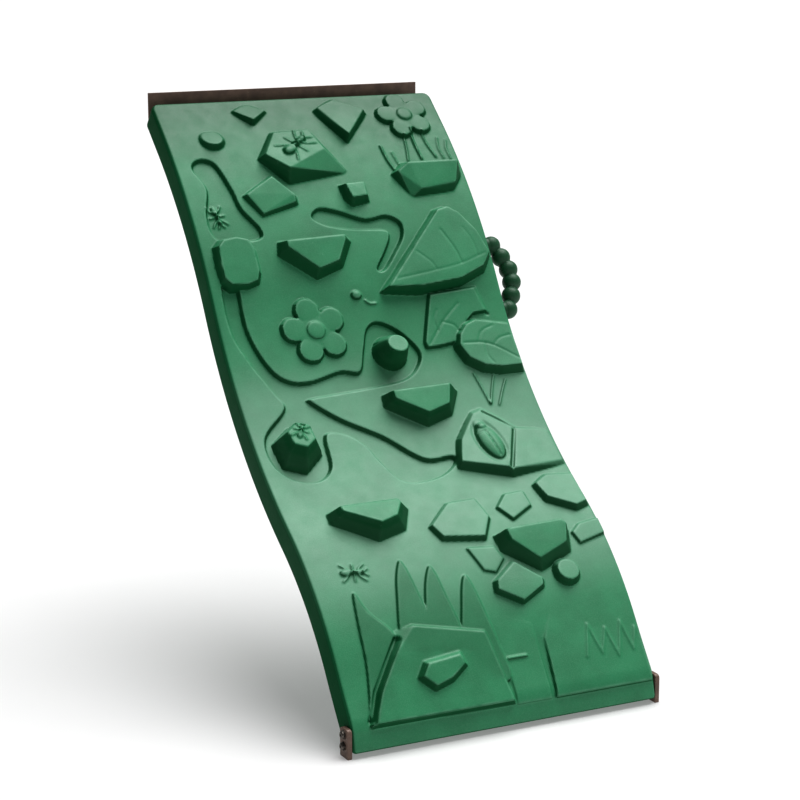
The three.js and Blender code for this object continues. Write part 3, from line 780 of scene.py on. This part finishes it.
def bolt_length(name):
    """Length of a bolt along its axis, head included, from its packed box."""
    low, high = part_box(f"{name}_bolt")
    size, axis = high - low, Vector(FASTENERS[name])
    across = 2 * BOLT_HEAD["radius"] * MM
    steepest = max(range(3), key=lambda i: abs(axis[i]))
    side = math.sqrt(max(0.0, 1 - axis[steepest] ** 2))
    return (size[steepest] - side * across) / abs(axis[steepest])


def bolt_shape(length):
    """Button head bolt with its head's underside at z = 0."""
    radius, height = BOLT_HEAD["radius"], BOLT_HEAD["height"]
    pitch, depth = THREAD["pitch"], THREAD["depth"]
    bm = bmesh.new()
    rise = pitch / THREAD["rows"]
    bottom = -(length / MM - height)
    rings = []
    for row in range(int(-bottom / rise) + 1):
        z = bottom + row * rise
        phases = [(z / pitch - i / BOLT_SIDES) % 1 for i in range(BOLT_SIDES)]
        tooth = depth * min(1, (z - bottom) / pitch)
        root = THREAD["radius"] - depth
        rings.append(add_ring(bm, [root + tooth * (1 - abs(2 * phase - 1)) for phase in phases], z))
    chamfer = BOLT_HEAD["chamfer"]
    profile = [(radius - chamfer, 0), (radius, chamfer), (radius, BOLT_HEAD["brim"] * height)]
    dome_radius = math.hypot(radius, BOLT_DOME["rise"] * radius)
    dome_centre = (0, -BOLT_DOME["below"] * radius)
    dome = arc(dome_centre, dome_radius, BOLT_DOME["from"], BOLT_DOME["to"], BOLT_DOME["steps"])
    profile += [(r, min(z, height)) for r, z in dome] + [(BOLT_HEAD["flat"] * radius, height)]
    rings += [add_ring(bm, [r] * BOLT_SIDES, z) for r, z in profile]
    bridge(bm, rings)
    bm.faces.new(rings[0])
    bm.faces.new(rings[-1])
    bolt = add_bmesh("bolt", bm)
    hexagon = arc((0, 0), SOCKET["radius"], 0, 300, 5)
    tool = add_bmesh("tool", extruded(hexagon, 2 * SOCKET["depth"]))
    tool.data.transform(Matrix.Translation((0, 0, height * MM)))
    cut_away(bolt, [tool])
    return bolt


def bolt(name, material):
    length = bolt_length(name)
    piece = bolt_shape(length)
    piece.name = f"{name}_socket_bolt"
    axis = Vector(FASTENERS[name])
    middle = (BOLT_HEAD["height"] * MM - length / 2) * axis
    piece.data.transform(axis_frame(box_centre(f"{name}_bolt") - middle, axis))
    finish_piece(piece, material, "stainless_steel", f"{name}_bolt")


def washer(name, material):
    piece = add_bmesh(f"{name}_flat_washer", turned(WASHER, WASHER_SIDES, closed=True))
    piece.data.transform(fastener_frame(name, "washer"))
    finish_piece(piece, material, "stainless_steel", f"{name}_washer")


def insert(name, material):
    """Brass insert with two knurled bands and a plain waist between them."""
    teeth = [KNURL_RADIUS * (1 - KNURL_DEPTH * (i % 2)) for i in range(INSERT_SIDES)]
    lower, upper = ([(teeth, z) for z in np.linspace(*band, KNURL_ROWS)] for band in KNURL_BANDS)
    profile = [*INSERT_FOOT, *lower, *INSERT_WAIST, *upper, *INSERT_MOUTH]
    piece = add_bmesh(f"{name}_threaded_insert", turned(profile, INSERT_SIDES))
    piece.data.transform(fastener_frame(name, "insert"))
    finish_piece(piece, material, "brass_insert", f"{name}_insert")


FOOT_BRACKET = {"corner": 10, "bevel": 1.4, "drill": 30}
DECK_ANGLE = {
    "thickness": 5, "top": 35, "leg": 84, "bend": 6, "gap": 0.3, "bevel": 1.0, "drill": 12,
}
DECK_SLOTS = {"across": (-300, -110, 110, 300), "z": -8, "length": 14, "radius": 5.5, "drill": 30}


def foot_bracket(side_name, material):
    """Flat steel bar with rounded upper corners and two bolt holes."""
    low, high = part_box(f"foot_bracket_{side_name}")
    size = (high - low) / MM
    radius, bevel_width, reach = FOOT_BRACKET.values()
    half = size.y / 2
    outline = [(-half, 0), (half, 0)]
    outline += arc((half - radius, size.z - radius), radius, 0, 90)
    outline += arc((radius - half, size.z - radius), radius, 90, 180)
    piece = add_bmesh(f"foot_bar_{side_name}", extruded(outline, size.x))
    piece.data.transform(UPRIGHT)
    bevel(piece, bevel_width)
    centre = (low + high) / 2
    piece.data.transform(Matrix.Translation((centre.x, centre.y, low.z)))
    bolts = [f"foot_{side_name}_{level}" for level in ("lower", "upper")]
    cut_away(piece, bolt_holes(bolts, reach))
    finish_piece(piece, material, "brown_powder_coat", f"foot_bracket_{side_name}")


def deck_angle(material):
    """Bent plate: its upright lies on the deck, its lower leg under the panel's back."""
    low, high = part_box("deck_angle")
    width = (high.x - low.x) / MM
    thickness, top, leg, bend, gap, bevel_width, reach = DECK_ANGLE.values()
    along = np.array([-math.cos(DECK_SLOPE), -math.sin(DECK_SLOPE)])
    away = np.array([math.sin(DECK_SLOPE), -math.cos(DECK_SLOPE)])
    back = on_panel(0, 0, -PANEL_THICKNESS - gap)[1:] / MM
    centre_y = -thickness - bend
    slide = (back[0] - bend * away[0] - centre_y) / math.cos(DECK_SLOPE)
    centre = back - bend * away + slide * along
    turn = DECK_SLOPE - math.pi / 2
    inner = arc(centre, bend, 0, math.degrees(turn), 10)
    outer = arc(centre, bend + thickness, 0, math.degrees(turn), 10)
    ends = [tuple(centre + radius * away + leg * along) for radius in (bend, bend + thickness)]
    outline = [(-thickness, top), *inner, *ends, *reversed(outer), (0, top)]
    piece = add_bmesh("deck_angle_plate", extruded(outline, width))
    piece.data.transform(UPRIGHT)
    bevel(piece, bevel_width)
    tools = []
    middle, radius = DECK_SLOTS["length"] / 2, DECK_SLOTS["radius"]
    for across in DECK_SLOTS["across"]:
        slot = arc((middle, 0), radius, -90, 90) + arc((-middle, 0), radius, 90, 270)
        tool = add_bmesh("tool", extruded(slot, DECK_SLOTS["drill"]))
        place = Matrix.Translation(Vector((across, 0, DECK_SLOTS["z"])) * MM)
        tool.data.transform(place @ Matrix.Rotation(math.pi / 2, 4, "X"))
        tools.append(tool)
    tools += bolt_holes([name for name in FASTENERS if name.startswith("deck")], reach)
    cut_away(piece, tools)
    finish_piece(piece, material, "brown_powder_coat", "deck_angle")


GRIP_ENDS = ("grip_upper", "grip_lower")
GRIP_DOWN = (503, 687)
GRIP_BALLS = {"count": 6, "radius": 25, "from_side": 25, "arch": 33, "subdivisions": 4}
GRIP_PAD = ((0, 0.6), (20, 0.6), (21, 1.6), (21, 25), (0, 25))
GRIP_HOLE = ((0, -5), (5.5, -5), (5.5, 34), (11.5, 34), (11.5, 60), (0, 60))
GRIP_VOXEL = 1.5
GRIP_SMOOTHING = 4
GRIP_GAP = 0.4  # from the panel's side, so that the two don't touch
WALL_TOOL = (100, 600, 600)


def side_of_panel():
    """A block that fills the panel's side of the grip, to trim it flat."""
    bm = bmesh.new()
    bmesh.ops.create_cube(bm, size=1, matrix=Matrix.Diagonal((*(Vector(WALL_TOOL) * MM), 1)))
    tool = add_bmesh("tool", bm)
    upper, lower = (box_centre(f"{name}_insert") for name in GRIP_ENDS)
    middle = (upper + lower) / 2
    x = (PANEL_WIDTH / 2 + GRIP_GAP - WALL_TOOL[0] / 2) * MM
    tool.data.transform(Matrix.Translation((x, middle.y, middle.z)))
    return tool


def hand_grip(material):
    """A row of balls melted together in an arch, with a flat pad and a recess at each end."""
    bm = bmesh.new()
    for t in np.linspace(0, 1, GRIP_BALLS["count"]):
        down = GRIP_DOWN[0] + t * (GRIP_DOWN[1] - GRIP_DOWN[0])
        _, y, z = on_panel(0, down, -PANEL_THICKNESS / 2) / MM
        x = PANEL_WIDTH / 2 + GRIP_BALLS["from_side"] + GRIP_BALLS["arch"] * math.sin(math.pi * t)
        bmesh.ops.create_icosphere(
            bm, subdivisions=GRIP_BALLS["subdivisions"], radius=GRIP_BALLS["radius"] * MM,
            matrix=Matrix.Translation(Vector((x, y, z)) * MM),
        )
    piece = add_bmesh("grip", bm)
    for name in GRIP_ENDS:
        pad = at_fastener(turned(GRIP_PAD), name, "insert")
        joiner = piece.modifiers.new("join", "BOOLEAN")
        joiner.operation = "UNION"
        joiner.object = pad
        joiner.use_self = True
        apply_modifiers(piece)
        bpy.data.objects.remove(pad)
    remesh = piece.modifiers.new("melt", "REMESH")
    remesh.mode = "VOXEL"
    remesh.voxel_size = GRIP_VOXEL * MM
    soften = piece.modifiers.new("soften", "SMOOTH")
    soften.iterations = GRIP_SMOOTHING
    apply_modifiers(piece)
    holes = [at_fastener(turned(GRIP_HOLE), name, "insert") for name in GRIP_ENDS]
    cut_away(piece, [side_of_panel(), *holes], "MANIFOLD")
    piece.name = "ball_grip"
    finish_piece(piece, material, "green_plastic", "hand_grip")


# ---- Materials ----

MIX_COLOUR_INPUTS = (0, 6, 7)
MIX_COLOUR_OUTPUT = 2


class Nodes:
    """Short names for building a material's node tree."""

    def __init__(self, name):
        self.material = bpy.data.materials.new(name)
        self.material.use_nodes = True
        self.tree = self.material.node_tree
        self.shader = self.tree.nodes["Principled BSDF"]
        self.coordinates = self.tree.nodes.new("ShaderNodeTexCoord").outputs["Object"]

    def link(self, value, socket):
        if isinstance(value, bpy.types.NodeSocket):
            self.tree.links.new(value, socket)
        else:
            socket.default_value = value

    def add(self, kind, inputs, **settings):
        """Adds a node, sets it up and links or fills its inputs."""
        node = self.tree.nodes.new("ShaderNode" + kind)
        for key, value in settings.items():
            setattr(node, key, value)
        for key, value in inputs.items():
            self.link(value, node.inputs[key])
        return node.outputs

    def noise(self, scale, detail=4.0, roughness=0.55, distortion=0.0):
        inputs = {"Scale": scale, "Detail": detail, "Roughness": roughness, "Distortion": distortion}
        return self.add("TexNoise", {"Vector": self.coordinates, **inputs})["Fac"]

    def attribute(self, name):
        return self.add("Attribute", {}, attribute_name=name)["Fac"]

    def spread(self, value, low, high, to_low=0.0, to_high=1.0):
        """Moves a range of values smoothly onto another one."""
        inputs = {"Value": value, "From Min": low, "From Max": high, "To Min": to_low, "To Max": to_high}
        return self.add("MapRange", inputs, interpolation_type="SMOOTHSTEP")["Result"]

    def mix(self, share, first, second):
        inputs = dict(zip(MIX_COLOUR_INPUTS, (share, first, second)))
        return self.add("Mix", inputs, data_type="RGBA")[MIX_COLOUR_OUTPUT]

    def math(self, operation, first, second=0.0):
        return self.add("Math", {0: first, 1: second}, operation=operation)["Value"]

    def times(self, *factors):
        return functools.reduce(lambda first, second: self.math("MULTIPLY", first, second), factors)

    def cover(self, base, colour, *shares):
        """A layer of colour over the base, as thick as the product of its shares."""
        return self.mix(self.times(*shares), base, colour)

    def vector(self, x, y, z):
        return self.add("CombineXYZ", {0: x, 1: y, 2: z})["Vector"]

    def dot(self, first, second):
        return self.add("VectorMath", {0: first, 1: second}, operation="DOT_PRODUCT")["Value"]

    def hollows(self, reach):
        """Near 1 deep in a crevice or corner, 0 in the open, from ambient occlusion."""
        outputs = self.add("AmbientOcclusion", {"Distance": reach}, samples=8, only_local=True)
        return self.math("SUBTRACT", 1, outputs["AO"])

    def bump(self, height, strength, distance, **normal):
        inputs = {"Strength": strength, "Distance": distance, "Height": height, **normal}
        return self.add("Bump", inputs)["Normal"]

    def set(self, **inputs):
        for key, value in inputs.items():
            self.link(value, self.shader.inputs[key.replace("_", " ").title()])


def srgb(red, green, blue):
    """Linear colour from 0 to 255 display values."""
    channels = [value / 255 for value in (red, green, blue)]
    return (*[c / 12.92 if c <= 0.04045 else ((c + 0.055) / 1.055) ** 2.4 for c in channels], 1)


LIT_SIDE = (0.4, 0.92)  # walls that face this way, across and up the face, get no painted shade
# Pale colour of the painted sheen.
SHEEN_COLOUR = srgb(160, 190, 174)
WEAR_AND_SHADE = {  # how strongly each layer of tone, wear, painted shade and painted sheen covers the plastic
    "mottle": 0.25, "speckle": 0.12, "rubbed": 0.25, "sheen": 0.24, "drips": 0.65, "grass": 0.25,
    "shaded": 0.85, "hollow": 0.7, "scuffs": 0.35, "side_shade": 0.85, "dulled": 0.8,
}
FACE_SHINE = 0.55
PAINT_METAL = 0.15
FLOOR = {"roughness": 0.9, "emission_strength": 0.3}


def shaded_walls(n):
    """Share of painted shade on the relief's walls: full on steep ones, none on the lit side."""
    slope = n.attribute("slope")
    sine = n.math("SINE", slope)
    cosine = n.math("COSINE", slope)
    surface = n.add("NewGeometry", {})["True Normal"]
    outward = n.dot(surface, n.vector(0.0, n.times(sine, -1), cosine))
    lit_y, lit_z = (n.times(part, LIT_SIDE[1]) for part in (cosine, sine))
    lit = n.dot(surface, n.vector(LIT_SIDE[0], lit_y, lit_z))
    steep = n.spread(n.math("SUBTRACT", 1, outward), 0.05, 0.3)
    return n.times(steep, n.spread(lit, 0.1, 0.4, 1, 0))


def moulded_plastic(name, colour, worn_colour, deep_colour, edge_shine):
    """Rotationally moulded polyethylene: faint mottling, orange peel, rubbed crests, painted shade and a
    painted sheen.
    """
    n = Nodes(name)
    mottled = n.spread(n.noise(scale=9, detail=5, roughness=0.6), 0.3, 0.72)
    speckle = n.spread(n.noise(scale=420, detail=2, roughness=0.5), 0.35, 0.75)
    base = n.cover(colour, deep_colour, mottled, WEAR_AND_SHADE["mottle"])
    base = n.cover(base, worn_colour, speckle, WEAR_AND_SHADE["speckle"])
    climbed = n.attribute("climbed")
    shaded = n.times(shaded_walls(n), climbed)
    crest = n.spread(n.attribute("crest"), 0.015, 0.09)
    rubbed = n.times(crest, n.spread(n.noise(scale=34), 0.25, 0.65))
    # Painted shade in crevices and at the feet of holds, from ambient occlusion.
    hollow = n.spread(n.hollows(reach=0.014), 0.2, 0.6)
    base = n.cover(base, worn_colour, rubbed, WEAR_AND_SHADE["rubbed"])
    raised = n.attribute("raised")
    # Painted sheen: a paler band across the middle of the face, kept off the high holds and the grass.
    low_down = n.spread(raised, 22, 32, WEAR_AND_SHADE["sheen"], 0)
    bare = n.math("SUBTRACT", 1, n.attribute("grass"))
    base = n.cover(base, SHEEN_COLOUR, n.attribute("painted_sheen"), low_down, bare)
    # Painted shade of the deck above, darkest at the top edge.
    base = n.cover(base, deep_colour, n.attribute("dripped"), WEAR_AND_SHADE["drips"])
    base = n.cover(base, deep_colour, n.attribute("grass"), WEAR_AND_SHADE["grass"])
    # Painted shade: walls that face away from the light are darkened towards deep green.
    base = n.cover(base, deep_colour, shaded, WEAR_AND_SHADE["shaded"])
    # Painted shade in crevices and at the feet of holds.
    base = n.cover(base, deep_colour, hollow, WEAR_AND_SHADE["hollow"])
    scuffs = n.spread(n.noise(scale=60, detail=8, roughness=0.75, distortion=1.5), 0.62, 0.72)
    held = n.spread(raised, 14, 30)
    base = n.cover(base, worn_colour, scuffs, held, WEAR_AND_SHADE["scuffs"])
    # Painted shade: the panel's sides and back, and all of the grip, are darkened towards deep green.
    base = n.cover(base, deep_colour, n.spread(climbed, 0, 1, WEAR_AND_SHADE["side_shade"], 0))
    rough = n.spread(n.noise(scale=24, detail=6, roughness=0.6), 0.25, 0.8, 0.44, 0.54)
    peel = n.bump(n.noise(scale=420, detail=3, roughness=0.6), strength=0.3, distance=0.0012)
    ripples = n.noise(scale=12, detail=2, roughness=0.4)
    waves = n.bump(ripples, strength=0.08, distance=0.004, Normal=peel)
    n.set(base_color=base, roughness=rough, normal=waves)
    open_face = n.math("SUBTRACT", climbed, n.times(shaded, WEAR_AND_SHADE["dulled"]))
    n.link(n.spread(open_face, 0, 1, edge_shine, FACE_SHINE), n.shader.inputs["Specular IOR Level"])
    return n.material


def powder_coat(name, colour, dark_colour, chip_colour):
    """Textured paint on steel, rubbed and chipped in small spots."""
    n = Nodes(name)
    cloud = n.spread(n.noise(scale=30, detail=5), 0.3, 0.7)
    base = n.mix(cloud, colour, dark_colour)
    chips = n.spread(n.noise(scale=160, detail=6, roughness=0.7, distortion=0.6), 0.66, 0.7)
    base = n.cover(base, chip_colour, chips, 0.6)
    grain = n.bump(n.noise(scale=1400, detail=2, roughness=0.5), strength=0.35, distance=0.0006)
    rough = n.spread(n.noise(scale=80), 0.2, 0.8, 0.38, 0.58)
    n.set(base_color=base, roughness=rough, normal=grain, metallic=PAINT_METAL)
    return n.material


def bare_metal(name, bright, dull, rough_low, rough_high):
    """Machined metal with fine turning marks, stains and a dulled surface."""
    n = Nodes(name)
    stain = n.spread(n.noise(scale=220, detail=6, roughness=0.65), 0.3, 0.7)
    rings = {"Vector": n.coordinates, "Scale": 260, "Distortion": 6, "Detail": 3}
    turning = n.add("TexWave", rings, wave_type="RINGS")["Fac"]
    marks = n.bump(turning, strength=0.12, distance=0.0003)
    base = n.mix(stain, bright, dull)
    rough = n.spread(n.noise(scale=500, detail=3), 0.2, 0.8, rough_low, rough_high)
    n.set(base_color=base, roughness=rough, normal=marks, metallic=1.0)
    return n.material


def floor_surface():
    n = Nodes("pale_floor")
    base = n.mix(n.noise(scale=1.5), srgb(196, 196, 196), srgb(202, 202, 202))
    n.set(base_color=base, emission_color=WHITE, **FLOOR)
    return n.material


WHITE = (1, 1, 1, 1)
BROWN = srgb(128, 106, 94)
DARK_BROWN = (*(0.7 * channel for channel in BROWN[:3]), 1)
green = moulded_plastic(
    "green_polyethylene", srgb(52, 146, 102), srgb(136, 192, 162), srgb(6, 76, 40), edge_shine=0.02
)
# A darker copy of the panel's green plastic: painted shade on the grip, which faces away from the light.
grip_green_shaded = moulded_plastic(
    "grip_polyethylene_shaded", srgb(34, 104, 68), srgb(90, 146, 116), srgb(22, 84, 52), edge_shine=0.5
)
coat = powder_coat("brown_coat", BROWN, DARK_BROWN, srgb(176, 164, 154))
steel = bare_metal("stainless", srgb(136, 130, 124), srgb(84, 80, 76), 0.4, 0.6)
brass = bare_metal("brass", srgb(196, 158, 92), srgb(128, 98, 56), 0.3, 0.5)

# ---- The assembly ----

wall_panel(green)
hand_grip(grip_green_shaded)
deck_angle(coat)
for side_name in ("left", "right"):
    foot_bracket(side_name, coat)
for fastener in FASTENERS:
    insert(fastener, brass)
    washer(fastener, steel)
    bolt(fastener, steel)

# ---- Floor, light and camera ----

floor_bm = bmesh.new()
bmesh.ops.create_grid(floor_bm, x_segments=8, y_segments=8, size=60)
floor = add_bmesh("floor", floor_bm)
floor.location.z = GROUND_Z * MM
floor.data.materials.append(floor_surface())

world = bpy.data.worlds.new("studio")
world.use_nodes = True
sky = world.node_tree.nodes["Background"]
sky.inputs["Color"].default_value = WHITE
direction = world.node_tree.nodes.new("ShaderNodeTexCoord")
split = world.node_tree.nodes.new("ShaderNodeSeparateXYZ")
fade = world.node_tree.nodes.new("ShaderNodeMapRange")
SKY_STRENGTH = {"To Min": 0.12, "To Max": 0.45}  # from the left horizon to the right one
for key, value in {"From Min": -1, "From Max": 1, **SKY_STRENGTH}.items():
    fade.inputs[key].default_value = value
world.node_tree.links.new(direction.outputs["Generated"], split.inputs[0])
world.node_tree.links.new(split.outputs["X"], fade.inputs["Value"])
world.node_tree.links.new(fade.outputs["Result"], sky.inputs["Strength"])
bpy.context.scene.world = world
bpy.context.scene.view_settings.view_transform = "Standard"
bpy.context.scene.view_settings.gamma = 0.8


def add_sun(name, towards, strength, angle):
    """A soft distant light that shines from a direction."""
    data = bpy.data.lights.new(name, "SUN")
    data.energy = strength
    data.angle = math.radians(angle)
    lamp = add_object(name, data)
    lamp.rotation_euler = Vector(towards).to_track_quat("Z", "Y").to_euler()


add_sun("overhead", (0.32, 0.1, 0.94), 3.5, 50)

CAMERA_PLACE = Vector((-2.482, -5.569, 0.548))
CAMERA_AIM = Vector((0.03, -0.62, -0.70))
CAMERA_LENS = 102

camera_data = bpy.data.cameras.new("camera")
camera_data.lens = CAMERA_LENS
camera = add_object("camera", camera_data)
camera.location = CAMERA_PLACE
camera.rotation_euler = (CAMERA_PLACE - CAMERA_AIM).to_track_quat("Z", "Y").to_euler()
bpy.context.scene.camera = camera
